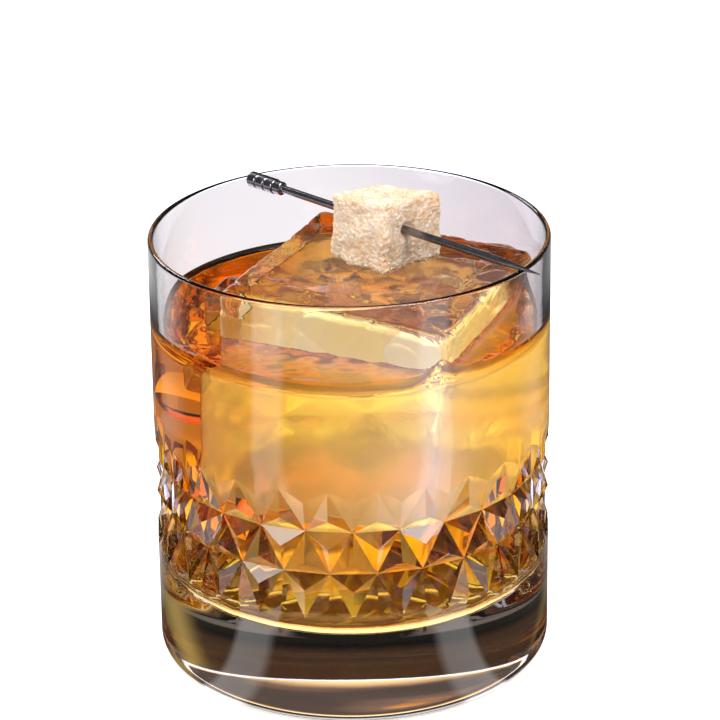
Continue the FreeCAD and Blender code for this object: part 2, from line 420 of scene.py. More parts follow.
class CocktailPick(bpy.types.PropertyGroup):
    rod: length_setting("Rod", "Radius of the rod", 0.85 * MM)
    head: length_setting("Head", "Radius of the ribbed head", 1.7 * MM)
    head_length: length_setting("Head length", "Length of the head and its collar", 9.7 * MM)
    point: length_setting("Point", "Length of the long point", 13 * MM)
    length: length_setting("Length", "From the tip to the end of the head", 83.3 * MM)
    turn: FloatProperty(name="Turn", description="Heading of the point, degrees", default=-44.6)
    colour: colour_setting("Colour", "Colour of the dark steel", (0.20, 0.20, 0.22))


class CocktailStage(bpy.types.PropertyGroup):
    elevation: FloatProperty(name="Elevation", description="Camera's elevation, degrees", default=23.07)
    distance: length_setting("Distance", "Camera to target", 0.72008)
    roll: FloatProperty(name="Roll", description="Camera's roll, degrees", default=-0.7454)
    lens: FloatProperty(name="Lens", description="Focal length in millimetres", default=170.3)
    daylight: FloatProperty(name="Daylight", description="Strength of the light from all round", default=0.6)


SETTINGS = {
    "cocktail_tumbler": CocktailTumbler,
    "cocktail_drink": CocktailDrink,
    "cocktail_ice": CocktailIce,
    "cocktail_sugar": CocktailSugar,
    "cocktail_pick": CocktailPick,
    "cocktail_stage": CocktailStage,
}


# ---- tumbler ----
def wall_radius(height, tumbler):
    """Inside radius of the wall: a straight taper from the foot's thickness to the lip's."""
    rise = (height - FLOOR) / (HEIGHT - tumbler.lip_wall / 2 - FLOOR)
    return RADIUS - tumbler.foot_wall + (tumbler.foot_wall - tumbler.lip_wall) * rise


def inside_profile(tumbler, top, reach=0.0):
    """Profile of the tumbler's inside from the axis along the floor, round the corner and up the wall to a height.

    A positive reach moves it into the glass.
    """
    floor = FLOOR - reach
    rounding = tumbler.floor_round + reach
    tilt = math.atan((tumbler.foot_wall - tumbler.lip_wall) / (HEIGHT - tumbler.lip_wall / 2 - FLOOR))
    high = floor + rounding
    centre = (wall_radius(high, tumbler) + reach / math.cos(tilt) - rounding / math.cos(tilt), high)
    corner = arc(centre, rounding, -90, -math.degrees(tilt), 14)
    across = np.append(np.linspace(0, centre[0], 10)[:-1], centre[0] - 0.2 * MM)
    floor_line = np.stack([across, np.full(10, floor)], -1)
    heights = np.append(corner[-1, 1] + 0.2 * MM, np.linspace(corner[-1, 1], top, 14)[1:])
    wall = np.stack([wall_radius(heights, tumbler) + reach / math.cos(tilt), heights], -1)
    return np.concatenate([floor_line, corner, wall])


def crossings(tumbler, row, steps):
    """Groove crossings of a row at whole half-column steps round the band."""
    depth = 0.06 * MM if row in (0, 3) else tumbler.cut_depth
    angle = steps * math.pi / tumbler.cut_columns
    return round_axis(RADIUS - depth, angle, tumbler.cut_bottom + row * tumbler.cut_row)


def three_sided_points(tumbler):
    """Flats of the points that stand between the rows.

    Three neighbouring crossings carry a point whose tip lies over their middle, just under the
    blank's surface; three flat triangles lead up to it.
    """
    triangles = []
    steps = np.arange(2 * tumbler.cut_columns)
    for lower, upper in ((0, 1), (1, 2), (2, 3)):
        for single, pair in ((lower, upper), (upper, lower)):
            if pair not in (1, 2):
                continue
            here = steps[(steps + single) % 2 == 0]
            corners = [crossings(tumbler, pair, here - 1), crossings(tumbler, pair, here + 1), crossings(tumbler, single, here)]
            middle = sum(corners) / 3
            across = np.hypot(middle[:, 0], middle[:, 1])
            tip = middle * np.stack([(RADIUS - 0.05 * MM) / across] * 2 + [np.ones(len(across))], -1)
            for a, b in ((0, 1), (1, 2), (2, 0)):
                triangles.append(np.stack([corners[a], corners[b], tip], 1))
    return np.concatenate(triangles)


def scallops(tumbler, row, inner, fine):
    """Flats between the inner row's crossings and one edge of the band, and that edge's line.

    Each flat lies in the plane through an inner crossing, the groove's end beside it and the lowest
    place of the scallop; the plane's cut through the cylinder is the curved edge. Returns polygons
    and the edge's heights, fine to a step.
    """
    count = 2 * tumbler.cut_columns
    first = np.arange(count)
    is_end = (first + row) % 2 == 0
    end = np.where(is_end, first, first + 1)
    beside = np.where(is_end, first + 1, first)
    dip = tumbler.cut_scallop * (1 if inner > row else -1)
    a = crossings(tumbler, inner, beside)
    b = crossings(tumbler, row, end)
    angle = beside * math.pi / tumbler.cut_columns
    low = round_axis(RADIUS, angle, tumbler.cut_bottom + row * tumbler.cut_row + dip)
    normal = np.cross(b - a, low - a)
    share = np.linspace(0, 1, fine + 1)
    angle = (end[:, None] + (beside - end)[:, None] * share) * math.pi / tumbler.cut_columns
    x, y = RADIUS * np.sin(angle), -RADIUS * np.cos(angle)
    z = a[:, 2:] - (normal[:, :1] * (x - a[:, :1]) + normal[:, 1:2] * (y - a[:, 1:2])) / normal[:, 2:]
    edge = np.stack([x, y, z], -1)
    polygons = np.concatenate([a[:, None], b[:, None], edge], 1)
    line = np.where(is_end[:, None], z, z[:, ::-1])[:, :-1].reshape(-1)
    return polygons, line


def tumbler_object(tumbler):
    """The whole tumbler: a profile turned about the axis, with the band of flats let into its outside.

    The punt is the top of a ball through the foot ring's inner edge. Rows of points 0.2 mm from each
    rounding keep its shading off the straight walls.
    """
    fine = 6
    beside = 0.2 * MM
    columns = 2 * tumbler.cut_columns * fine
    angles = np.arange(columns) * 2 * math.pi / columns
    low_flats, low_line = scallops(tumbler, 0, 1, fine)
    high_flats, high_line = scallops(tumbler, 3, 2, fine)

    lip = tumbler.lip_wall / 2
    rim = arc((RADIUS - lip, HEIGHT - lip), lip, 0, 180, 15)
    inside = inside_profile(tumbler, HEIGHT - lip)[::-1]
    by_lip = HEIGHT - lip - beside
    straight = [[RADIUS, 58 * MM], [RADIUS, 75 * MM], [RADIUS, by_lip]]
    above = np.concatenate([straight, rim, [[wall_radius(by_lip, tumbler), by_lip]], inside[1:]])
    punt_radius = RADIUS - tumbler.heel_round - tumbler.foot_ring
    ball = (punt_radius**2 + tumbler.punt_depth**2) / (2 * tumbler.punt_depth)
    across = np.linspace(0, punt_radius, 16)
    punt = np.stack([across, tumbler.punt_depth - ball + np.sqrt(ball**2 - across**2)], -1)
    heel = arc((RADIUS - tumbler.heel_round, tumbler.heel_round), tumbler.heel_round, -90, 0, 12)
    below = np.concatenate([punt, heel, [[RADIUS, tumbler.heel_round + beside], [RADIUS, 20 * MM]]])

    def with_line(profile, line, first):
        """A turned profile with the band's edge as one more row of points, before it or after it."""
        grid = revolved(profile, angles)
        edge = round_axis(RADIUS, angles, line)[None]
        return np.concatenate([edge, grid] if first else [grid, edge])

    points, faces, smooth, start = [], [], [], 0
    for grid in (with_line(above, high_line, True), with_line(below, low_line, False)):
        faces.append(grid_quads(len(grid), columns, True, start))
        points.append(grid.reshape(-1, 3))
        smooth.append(np.ones(len(faces[-1]), bool))
        start += grid.shape[0] * columns
    for flats in (three_sided_points(tumbler), low_flats, high_flats):
        faces.append(start + np.arange(flats.shape[0] * flats.shape[1]).reshape(flats.shape[:2]))
        points.append(flats.reshape(-1, 3))
        smooth.append(np.zeros(len(flats), bool))
        start += flats.shape[0] * flats.shape[1]
    return mesh_object("tumbler", np.concatenate(points), faces, np.concatenate(smooth), 0.0005 * MM)


def crystal_finish(tumbler):
    """Clear lead crystal with faint wipe marks."""
    finish = Finish("crystal")
    marks = finish.noise(90.0, 4.0)
    surface = finish.surface(
        Base_Color=colour_of(tumbler.tint), IOR=1.52, Transmission_Weight=1.0, Roughness=0.0,
        Normal=finish.bump(marks, 0.04, 0.0002),
    )
    return finish.output(surface)


class MakeTumbler(bpy.types.Operator):
    """Makes the cut-crystal tumbler"""
    bl_idname = "cocktail.tumbler"
    bl_label = "Tumbler"

    def execute(self, context):
        tumbler = context.scene.cocktail_tumbler
        finish_piece(tumbler_object(tumbler), crystal_finish(tumbler), "crystal", "glass")
        return {"FINISHED"}


# ---- ice ----
def melted(points, ice, tumbler):
    """Points pulled in to stay a gap clear of the glass, at the same height."""
    limit = wall_radius(points[:, 2], tumbler) - ice.wall_gap
    across = np.hypot(points[:, 0], points[:, 1])
    share = np.minimum(1, limit / np.maximum(across, 1e-9))
    return points * np.stack([share, share, np.ones_like(share)], -1)


def dish_height(points):
    """Height of the shallow dish under the sugar cube: the underside of a large ball."""
    middle, lowest, ball = np.array([7.46, 5.71]) * MM, 84.25 * MM, 138.2 * MM
    aside = np.minimum(np.hypot(*(points[:, :2] - middle).T), 0.6 * ball)
    return lowest + ball - np.sqrt(ball**2 - aside**2)


def big_cube(ice, tumbler):
    """The big cube: a rounded box, narrower at the bottom, leaning and turned, clear of the glass, with a dish in its top.

    Its points move in and out with a smooth noise, and in along creases where two other noises pass
    zero; the creases fade exponentially with the depth below the top.
    """
    points, faces = rounded_block(ice.size, ice.rounding, 84)
    half = ice.size[2] / 2
    depth = (half - points[:, 2]) / ice.size[2]
    narrow = 1 - depth[:, None] * 2 * ice.draft / np.array(ice.size)[:2]
    points[:, :2] *= narrow
    outward = points / np.linalg.norm(points / np.array(ice.size), axis=1)[:, None] / max(ice.size)
    points += outward * ice.unevenness * 0.5 * waves(points, 16 * MM, 3)[:, None]
    crease = np.exp(-np.abs(waves(points, 15 * MM, 31)) / 0.10) + 0.6 * np.exp(-np.abs(waves(points, 8 * MM, 32)) / 0.14)
    points -= outward * (ice.crease * crease * np.exp(-depth * 5))[:, None]
    points[:, 2] -= half
    points = turned(turned(points, "Y", ice.lean), "Z", ice.turn) + np.array(ice.place)
    points[:, 2] = np.minimum(points[:, 2], dish_height(points))
    return mesh_object("big_ice", melted(points, ice, tumbler), faces)


def waved_block(size, rounding, cells, height, wavelength, seed):
    """A rounded box whose points are moved to and from its middle by smooth noise of a height."""
    points, faces = rounded_block(size, rounding, cells)
    points += height * waves(points, wavelength, seed)[:, None] * points / np.linalg.norm(points, axis=1)[:, None]
    return points, faces


def small_block(name, size, over_drink, shift, lean, axis, outward, ice, tumbler):
    """A small block against one side of the cube: a rounded, waved box, leaning, clear of the glass.

    The side lies half the cube's size along an axis from its middle and faces outward, in degrees
    from the cube's own turn.
    """
    points, faces = waved_block(size, 1.0 * MM, 28, 0.15 * MM, 7 * MM, 5)
    points[:, 2] -= size[2] / 2
    points = turned(points, "X", -lean) + np.array([shift, ice.size[axis] / 2 + size[1] / 2, 0])
    points = turned(points, "Z", ice.turn + outward - 90) + np.array([ice.place[0], ice.place[1], LEVEL + over_drink])
    return mesh_object(name, melted(points, ice, tumbler), faces)


def ice_blocks(ice, tumbler):
    """The big cube, and the slab and the shard still whole where they reach into it."""
    return (
        big_cube(ice, tumbler),
        small_block("slab_of_ice", (24 * MM, 7 * MM, 30 * MM), 5.7 * MM, 8 * MM, 4.0, 1, 90, ice, tumbler),
        small_block("shard_of_ice", (12 * MM, 4.9 * MM, 20 * MM), 8.2 * MM, -17 * MM, 1.5, 0, 180, ice, tumbler),
    )


def ice_finish(name, scatter):
    """Clear ice, dulled a little where it melts.

    Below the drink's surface it is painted amber for the drink's colour, with painted shade that makes it darker
    on the left than on the right, and a painted glow stands in for the light that cloudy ice scatters. Faces that look
    up and left have painted shade, and faces that look right a painted golden highlight.
    """
    finish = Finish(name)
    fine = finish.noise(260.0, 3.0)
    broad = finish.noise(70.0, 2.0)
    place = finish.axes(finish.place())
    inputs = {"Value": place["Z"], "From Min": LEVEL, "From Max": LEVEL - 6 * MM}
    sunk = finish.node("ShaderNodeMapRange", None, inputs)["Result"]
    facing = finish.node("ShaderNodeTexCoord")["Normal"]
    leftward = finish.vector("DOT_PRODUCT", facing, (-0.917, 0.399, 0), out="Value")
    across = 10 * place["X"] + 0.5
    # amber for the drink's colour, with painted shade: darker amber on the left, paler on the right
    amber_and_painted_shade = finish.ramp(across, (0.22, (0.93, 0.82, 0.66)), (0.5, (0.985, 0.975, 0.95)))
    colour = finish.mixed(sunk, (0.80, 0.76, 0.76), amber_and_painted_shade)
    # painted shade: faces that look up turn dark brown and faces that look left dark red-brown; painted light: faces
    # that look right turn golden
    for towards, tint in (
        (finish.axes(facing)["Z"], (0.30, 0.185, 0.088)),
        (leftward, (0.40, 0.12, 0.02)),
        (0 - leftward, (0.97, 0.80, 0.40)),
    ):
        colour = finish.mixed(finish.rise(towards, 0.6, 0.9), colour, tint)
    # painted glow: an emission below the drink's level, patchy, strongest from about 45 to 55 mm up, stronger to the
    # right and weaker on faces that look left
    cloud = finish.ramp(finish.noise(28.0, 1.0), (0.35, 0.68), (0.6, 0.92))
    deep = finish.ramp(10 * place["Z"], (0.34, 0.6), (0.45, 1.0), (0.55, 1.0), (0.64, 0.65))
    aside = finish.ramp(across, (0.22, 0.2), (0.45, 0.75), (0.7, 1.0))
    aside = finish.rise(leftward, 0.75, 0.1) * aside
    painted_as_scattered = finish.mixed(sunk * cloud * deep * aside, 0.0, (1.0, 0.91, 1.15))
    surface = finish.surface(
        Base_Color=colour, IOR=1.31, Transmission_Weight=1.0, Roughness=0.01 + 0.34 * sunk * broad,
        Emission_Color=painted_as_scattered, Emission_Strength=scatter, Normal=finish.bump(fine * 0.3 + broad, 0.4, 0.0007),
    )
    return finish.output(surface)


def sunk_blocks(ice, tumbler):
    """Two small blocks in the drink, some 5 mm under the big cube: rounded, waved, turned boxes, clear of the glass."""
    blocks = []
    # size, turn, lean and middle, in millimetres and degrees
    table = (((24, 20, 13), 12, 4, (-8, -9, 29)), ((20, 17, 12), -31, -5, (14, 9, 28.5)))
    for number, (size, turn, lean, middle) in enumerate(table):
        points, faces = waved_block(np.array(size) * MM, 2.5 * MM, 30, 0.4 * MM, 9 * MM, 40 + number)
        points = turned(turned(points, "X", lean), "Z", turn) + np.array(middle) * MM
        blocks.append(mesh_object(f"sunk_ice_{number + 1}", melted(points, ice, tumbler), faces))
    return blocks


class MakeIce(bpy.types.Operator):
    """Makes the big ice cube with its slab and shard, and the ice sunk in the drink"""
    bl_idname = "cocktail.ice"
    bl_label = "Ice"

    def execute(self, context):
        ice, tumbler = context.scene.cocktail_ice, context.scene.cocktail_tumbler
        cloudy, clear = ice_finish("ice", ice.scatter), ice_finish("clear_ice", 0.0)
        cube, slab, shard = ice_blocks(ice, tumbler)
        for side in (slab, shard):
            cut_away(side, [cube], 0.06 * MM)
        finish_piece(cube, cloudy, "ice", "ice_cube")
        finish_piece(slab, clear, "ice", "ice_slab")
        finish_piece(shard, clear, "ice", "ice_shard")
        for thing in sunk_blocks(ice, tumbler):
            finish_piece(thing, cloudy, "ice")
        return {"FINISHED"}


# ---- drink ----
def drink_body(drink, tumbler, ice_edge):
    """The drink as if no ice stood in it: the tumbler's inside turned about the axis, closed by a top.

    The top rises at the glass and at the ice, falling off exponentially with the distance from each,
    and climbs in the gap between them. Away from the wall it has two smooth noises for ripples, the
    shorter one stronger towards the viewer's side.
    """
    columns, rings = 320, 90
    climb_width, calm_width = 1.1 * MM, 2 * MM
    angles = np.arange(columns) * 2 * math.pi / columns
    inside = inside_profile(tumbler, LEVEL + drink.meniscus, drink.reach)
    edge_radius = inside[-1, 0]
    share = 1 - np.linspace(0, 1, rings) ** 1.6
    surface = revolved(np.stack([edge_radius * share, np.full(rings, LEVEL)], -1), angles)
    flat = surface.reshape(-1, 3)
    from_wall = edge_radius - np.hypot(flat[:, 0], flat[:, 1])
    away = np.sqrt(((flat[:, None, :2] - ice_edge[None]) ** 2).sum(-1)).min(1)
    rise = np.exp(-from_wall / drink.meniscus_width) + 0.8 * np.exp(-away / drink.meniscus_width)
    climb = drink.climb * np.exp(-(from_wall + away) / climb_width)
    flat[:, 2] += drink.meniscus * np.minimum(rise, 1) + climb
    calm = np.clip(from_wall / calm_width, 0, 1)
    front = np.clip(-flat[:, 1] / (12 * MM) - 0.8, 0, 1)
    flat[:, 2] += calm * (0.06 * MM * waves(flat, 14 * MM, 9) + (0.03 + 0.09 * front) * MM * waves(flat, 4.2 * MM, 8))
    surface = flat.reshape(surface.shape)
    grid = np.concatenate([revolved(inside, angles)[:-1], surface])
    return mesh_object("cocktail", grid, [grid_quads(len(grid), columns)])


def edge_at_level(things):
    """Where the upright sides of pieces pass the drink's level: their points close to it."""
    near = [p[np.abs(p[:, 2] - LEVEL) < 0.5 * MM][:, :2] for p in map(points_of, things)]
    return np.concatenate(near)


def drink_finish(drink):
    """Amber drink: clear, coloured by how deep the light passes through it."""
    finish = Finish("drink")
    swirl = finish.noise(45.0, 2.0)
    surface = finish.surface(
        Base_Color=colour_of(1.0), IOR=1.36, Transmission_Weight=1.0, Roughness=0.0,
        Normal=finish.bump(swirl, 0.05, 0.0005),
    )
    inputs = {"Color": colour_of(drink.colour), "Density": drink.strength}
    volume = finish.node("ShaderNodeVolumeAbsorption", None, inputs)["Volume"]
    return finish.output(surface, volume)


class MakeDrink(bpy.types.Operator):
    """Makes the drink, cut round the ice that stands in it"""
    bl_idname = "cocktail.drink"
    bl_label = "Drink"

    def execute(self, context):
        scene = context.scene
        drink, tumbler = scene.cocktail_drink, scene.cocktail_tumbler
        ice = ice_blocks(scene.cocktail_ice, tumbler)
        thing = drink_body(drink, tumbler, edge_at_level(ice))
        ice = [*ice, *sunk_blocks(scene.cocktail_ice, tumbler)]
        cut_away(thing, ice, 0.06 * MM)
        for block in ice:
            bpy.data.objects.remove(block)
        finish_piece(thing, drink_finish(drink), "cocktail", "drink")
        return {"FINISHED"}


# ---- pick ----
def pick_place(points, pick):
    """From the pick's own frame, +X to the point with its tip at the origin, to where it lies."""
    low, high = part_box("pick")
    tip = np.array([38.24 * MM, -26.75 * MM, (low.z + high.z) / 2])
    return turned(points, "Z", pick.turn) + tip


def pick_object(pick):
    """Profile of radius against length turned about the rod: point, rod, collar, three ribs and end."""
    length = pick.length
    rod_start = pick.head_length - length
    ribs_end = rod_start - 2.0 * MM
    pitch = (ribs_end + length) / 3
    rib = np.linspace(0, 1, 22)
    shape = np.clip(np.minimum(rib, 1 - rib) / 0.16, 0, 1)
    rib_radius = pick.head - 0.3 * MM * (1 - np.sqrt(1 - (1 - shape) ** 2))
    ribs = [np.stack([ribs_end - (n + rib) * pitch, rib_radius], -1) for n in range(3)]
    collar = [
        [rod_start + 0.1 * MM, pick.rod], [rod_start, 1.3 * MM],
        [rod_start - 0.2 * MM, 1.48 * MM], [ribs_end + 0.1 * MM, 1.5 * MM],
    ]
    cap = np.array([[-length + 0.02 * MM, 1.2 * MM], [-length, 0.9 * MM], [-length, 0]])
    taper = np.linspace(0, 1, 12)
    point = np.stack([-pick.point * taper, 0.12 * MM + (pick.rod - 0.12 * MM) * np.sin(taper * math.pi / 2) ** 1.1], -1)
    rod = np.stack([np.linspace(-pick.point, rod_start + 0.1 * MM, 40)[1:-1], np.full(38, pick.rod)], -1)
    profile = np.concatenate([[[0.0, 0.0]], point, rod, collar, *ribs, cap])
    angle = np.arange(48) * 2 * math.pi / 48
    x = np.broadcast_to(profile[:, :1], (len(profile), 48))
    radius = profile[:, 1:]
    grid = np.stack([x, radius * np.cos(angle), radius * np.sin(angle)], -1)
    thing = mesh_object("steel_pick", pick_place(grid.reshape(-1, 3), pick), [grid_quads(len(grid), 48)], weld=0.0001 * MM)
    thing.data.set_sharp_from_angle(angle=math.radians(38))
    return thing


def steel_finish(pick):
    """Dark steel, drawn lengthwise, with a few scuffs."""
    finish = Finish("steel")
    rotation = (0, 0, math.radians(-pick.turn))
    inputs = {"Vector": finish.place(), "Rotation": rotation, "Scale": (40.0, 2200.0, 2200.0)}
    drawn = finish.noise(1.0, 3.0, 0.6, finish.node("ShaderNodeMapping", None, inputs)["Vector"])
    scuffs = finish.noise(900.0, 4.0)
    colour = finish.mixed(drawn, pick.colour, (0.30, 0.30, 0.33))
    surface = finish.surface(
        Base_Color=colour, Metallic=1.0, Roughness=0.14 + 0.16 * scuffs,
        Normal=finish.bump(drawn, 0.06, 0.00002),
    )
    return finish.output(surface)


class MakePick(bpy.types.Operator):
    """Makes the steel cocktail pick"""
    bl_idname = "cocktail.pick"
    bl_label = "Pick"

    def execute(self, context):
        pick = context.scene.cocktail_pick
        finish_piece(pick_object(pick), steel_finish(pick), "steel", "pick")
        return {"FINISHED"}


# ---- sugar ----
def crystals(points, size, seed):
    """Height and shade of sugar crystals at points.

    Space is divided into cells with one jittered seed each; a point belongs to its nearest seed, and
    rises by that crystal's own tilted flat, falling to the gap between it and the next.
    """
    cell = np.floor(points / size).astype(int)
    best = np.full(len(points), 9.0)
    second = best.copy()
    height = np.zeros(len(points))
    shade = height.copy()
    for offset in np.ndindex(3, 3, 3):
        other = cell + np.array(offset) - 1
        mixed = (other[:, 0] * 73856093) ^ (other[:, 1] * 19349663) ^ (other[:, 2] * 83492791) ^ (seed * 2654435761)
        rand = [((mixed * k) % 1048573) / 1048573 for k in (40503, 60493, 19997, 83497, 74531, 51431, 31337)]
        away = points / size - other - np.stack(rand[:3], -1)
        far = np.sqrt((away**2).sum(-1))
        tilt = (away * (np.stack(rand[3:6], -1) - 0.5)).sum(-1)
        nearer = far < best
        second = np.where(nearer, best, np.minimum(second, far))
        height = np.where(nearer, tilt, height)
        shade = np.where(nearer, rand[6], shade)
        best = np.where(nearer, far, best)
    gap = np.clip((second - best) / 0.35, 0, 1)
    return (0.9 * height + 0.28 * (shade - 0.5)) * gap - 0.35 * (1 - gap), shade


def sugar_object(sugar, pick):
    """Rounded box with a sloping top, covered with crystals, and with a hollow where the rod passes each side."""
    size = np.array([sugar.side, sugar.side, sugar.height])
    points, faces = rounded_block(size, 2.0 * MM, 96)
    half = sugar.side / 2
    drop = 0.1247 * (points[:, 0] - half) - 0.1247 * (points[:, 1] + half)
    points[:, 2] += (points[:, 2] / sugar.height + 0.5) * drop
    outward = points / (size / 2)
    outward = unit(np.sign(outward) * np.abs(outward) ** 6)
    fine, shade = crystals(points, sugar.grain, 11)
    coarse, _ = crystals(points + 0.3, 2.3 * sugar.grain, 12)
    points += outward * (0.55 * sugar.grain * fine + 0.45 * sugar.grain * coarse - 0.25 * MM)[:, None]
    points += outward * (0.3 * MM * waves(points, 5 * MM, 21) + 0.45 * MM * (waves(points, 14 * MM, 22) - 0.6))[:, None]
    aside = np.hypot(points[:, 1] + 1.5 * MM, points[:, 2] - 0.3 * MM)
    points[:, 0] -= np.sign(points[:, 0]) * 1.0 * MM * np.exp(-((aside / (1.7 * MM)) ** 4)) * (np.abs(points[:, 0]) > 0.8 * half)
    points += np.array([-(35.8 * MM + half), 1.5 * MM, -0.3 * MM])
    thing = mesh_object("sugar", pick_place(points, pick), faces, weld=0)
    shade_layer = thing.data.attributes.new("crystal", "FLOAT", "POINT")
    shade_layer.data.foreach_set("value", shade.astype(np.float32))
    mended(thing.data, 0.002 * MM, 0)
    return thing


def sugar_finish(sugar):
    """Brown sugar: crystals of differing brown in pale and brown patches, a little translucent."""
    finish = Finish("sugar")
    shade = finish.node("ShaderNodeAttribute", {"attribute_name": "crystal"})["Fac"]
    patches = finish.noise(160.0, 3.0)
    grains = finish.node("ShaderNodeTexVoronoi", None, {"Vector": finish.place(), "Scale": 2600.0})["Color"]
    amount = finish.node("ShaderNodeSeparateColor", None, {"Color": grains})["Red"]
    colour = finish.ramp(
        0.35 * shade + 0.45 * patches + 0.25 * amount + 0.5 * (finish.noise(90.0, 1.0) - 0.5),
        (0.25, sugar.brown), (0.5, [(a + b) / 2 for a, b in zip(sugar.brown, sugar.pale)]), (0.72, sugar.pale),
    )
    surface = finish.surface(
        Base_Color=colour, Roughness=0.42 + 0.3 * amount, Subsurface_Weight=0.35,
        Subsurface_Radius=(0.9, 0.6, 0.3), Subsurface_Scale=0.0012, IOR=1.5,
        Normal=finish.bump(amount + patches * 0.5, 0.5, 0.00015),
    )
    return finish.output(surface)


class MakeSugar(bpy.types.Operator):
    """Makes the brown sugar cube on the pick"""
    bl_idname = "cocktail.sugar"
    bl_label = "Sugar Cube"

    def execute(self, context):
        sugar, pick = context.scene.cocktail_sugar, context.scene.cocktail_pick
        finish_piece(sugar_object(sugar, pick), sugar_finish(sugar), "sugar", "sugar_cube")
        return {"FINISHED"}


# ---- stage ----
def camera(stage):
    """Camera looking down at the drink: distance back from the target along its elevation, with a slight roll."""
    elevation, roll = math.radians(stage.elevation), math.radians(stage.roll)
    forward = Vector((0, math.cos(elevation), -math.sin(elevation)))
    across = Vector((1, 0, 0))
    upward = across.cross(forward)
    right = math.cos(roll) * across + math.sin(roll) * upward
    top = -math.sin(roll) * across + math.cos(roll) * upward
    data = bpy.data.cameras.new("camera")
    data.lens = stage.lens
    data.sensor_width = 36.0
    thing = bpy.data.objects.new("camera", data)
    place = Vector((1.934 * MM, 0, 64.73 * MM)) - forward * stage.distance
    thing.matrix_world = Matrix.Translation(place) @ Matrix((right, top, -forward)).transposed().to_4x4()
    bpy.context.scene.collection.objects.link(thing)
    bpy.context.scene.camera = thing


def softboxes(finish, direction):
    """1 towards two upright softboxes, 45 degrees to the left and right of the viewer, and 0 elsewhere.

    The share of the direction that points at the viewer is the cosine of its heading; the softboxes
    lie where it is near the cosine of 45 degrees.
    """
    heading = finish.vector("NORMALIZE", finish.vector("MULTIPLY", direction, (1, 1, 0)))
    facing = finish.vector("DOT_PRODUCT", heading, (0, -1, 0), out="Value")
    return finish.smooth(facing.maths("ABSOLUTE", facing - 0.71), 0.13, 0.07)


def flags(finish, heading):
    """1 and 0 by turns round the glass: six bright windows between dark flags, by the sine of six times the heading."""
    return finish.smooth(heading.maths("SINE", 6.0 * heading + 0.6), -0.2, 0.5)


def through_floor(finish, from_axis, sides, place):
    """Colours of the floor as clear things show it, by distance from the axis and by side.

    Outward from the axis: painted amber light under the foot, a dark ring of painted shadow with painted amber glints,
    painted amber light again, white, and grey-lilac from 0.15 m on. Up to 0.22 m the viewer's side has painted shade,
    and a narrow painted shadow lies behind.
    """
    reach = from_axis / 0.2
    # painted light and shadow: amber light under the foot, a black ring of contact shadow from about 42 to 56 mm out,
    # amber light again, then bright white
    near = finish.ramp(
        reach, (0.17, (0.92, 0.60, 0.25)), (0.21, 0.0), (0.28, 0.0), (0.31, (0.80, 0.51, 0.24)),
        (0.36, (0.86, 0.63, 0.38)), (0.42, (0.80, 0.93, 1.5)), (0.52, (0.80, 0.93, 1.5)),
        (0.58, (0.97, 0.98, 1.0)), (0.65, (0.97, 0.98, 1.0)), (0.78, 0.0),
    )
    cells = {"Vector": place, "Scale": 95.0, "Smoothness": 0.3, "Randomness": 0.8}
    # painted amber glints, laid into the ring from about 38 to 56 mm out
    glints = finish.ramp(
        finish.node("ShaderNodeTexVoronoi", {"feature": "SMOOTH_F1"}, cells)["Distance"],
        (0.20, (0.05, 0.018, 0.008)), (0.30, (0.9, 0.30, 0.03)), (0.42, (0.12, 0.07, 0.05)), (0.62, (0.05, 0.035, 0.03)),
    )
    foot = finish.ramp(reach, (0.15, 0.0), (0.19, 1.0), (0.28, 1.0), (0.31, 0.0))
    far = finish.mixed(finish.rise(sides["X"] + 0.5, 0.45, 0.65), (0.47, 0.455, 0.475), (0.39, 0.36, 0.395))
    colour = finish.mixed(1.0, near, finish.mixed(foot, 0.0, glints), "ADD")
    colour = finish.mixed(1.0, colour, finish.mixed(finish.rise(reach, 0.65, 0.78), 0.0, far), "ADD")
    # painted shade: up to 0.22 m from the axis the floor on the viewer's side is darkened to 0.12
    lit_side = finish.ramp(0.5 * sides["Y"] + 0.5, (0.60, 0.12), (0.78, 1.0))
    lit_side = finish.mixed(finish.rise(from_axis, 0.22, 0.25), lit_side, 1.0)
    colour = finish.mixed(finish.rise(reach, 0.15, 0.19), colour, finish.mixed(1.0, colour, lit_side, "MULTIPLY"))
    narrow = finish.ramp(reach, (0.37, 0.0), (0.39, 1.0), (0.45, 1.0), (0.47, 0.0))
    return finish.mixed(finish.rise(sides["Y"], 0.955, 0.985) * narrow, colour, (0.16, 0.12, 0.09))


def floor_finish():
    """Pale floor that keeps the tumbler's shadow; clear things show it in zones, and shiny ones show softboxes in a dim room."""
    finish = Finish("floor")
    path = finish.node("ShaderNodeLightPath")
    place = finish.place()
    from_axis = finish.vector("LENGTH", place, out="Value")
    sides = finish.axes(finish.vector("NORMALIZE", place))
    pale = finish.mixed(finish.noise(300.0, 2.0), 0.93, 0.96)
    diffuse = finish.node("ShaderNodeBsdfDiffuse", None, {"Color": pale})["BSDF"]
    through = through_floor(finish, from_axis, sides, place)
    through = finish.node("ShaderNodeEmission", None, {"Color": through, "Strength": 2.1})["Emission"]
    # past the sides of clear things the floor behind shows, brighter on the left
    back = finish.rise(sides["Y"], 0.2, 0.6) * finish.ramp(sides["X"] + 0.5, (0.4, 1.0), (0.6, 0.4))
    back = back * finish.ramp(from_axis, (0.08, 0.45), (0.10, 0.08), (0.205, 0.08), (0.235, 0.95))
    strength = 0.05 + 2.2 * softboxes(finish, place) + back
    mirrored = finish.node("ShaderNodeEmission", None, {"Color": colour_of(1.0), "Strength": strength})["Emission"]
    white = finish.node("ShaderNodeEmission", None, {"Color": colour_of(1.0), "Strength": 0.45})["Emission"]
    lit = finish.node("ShaderNodeAddShader", None, {0: diffuse, 1: white})["Shader"]
    surface = diffuse
    for seen, shader in (
        (path["Is Transmission Ray"], through),
        (path["Is Glossy Ray"] * path["Is Reflection Ray"], mirrored),
        (path["Is Camera Ray"], lit),
    ):
        surface = finish.node("ShaderNodeMixShader", None, {0: seen, 1: surface, 2: shader})["Shader"]
    return finish.output(surface)


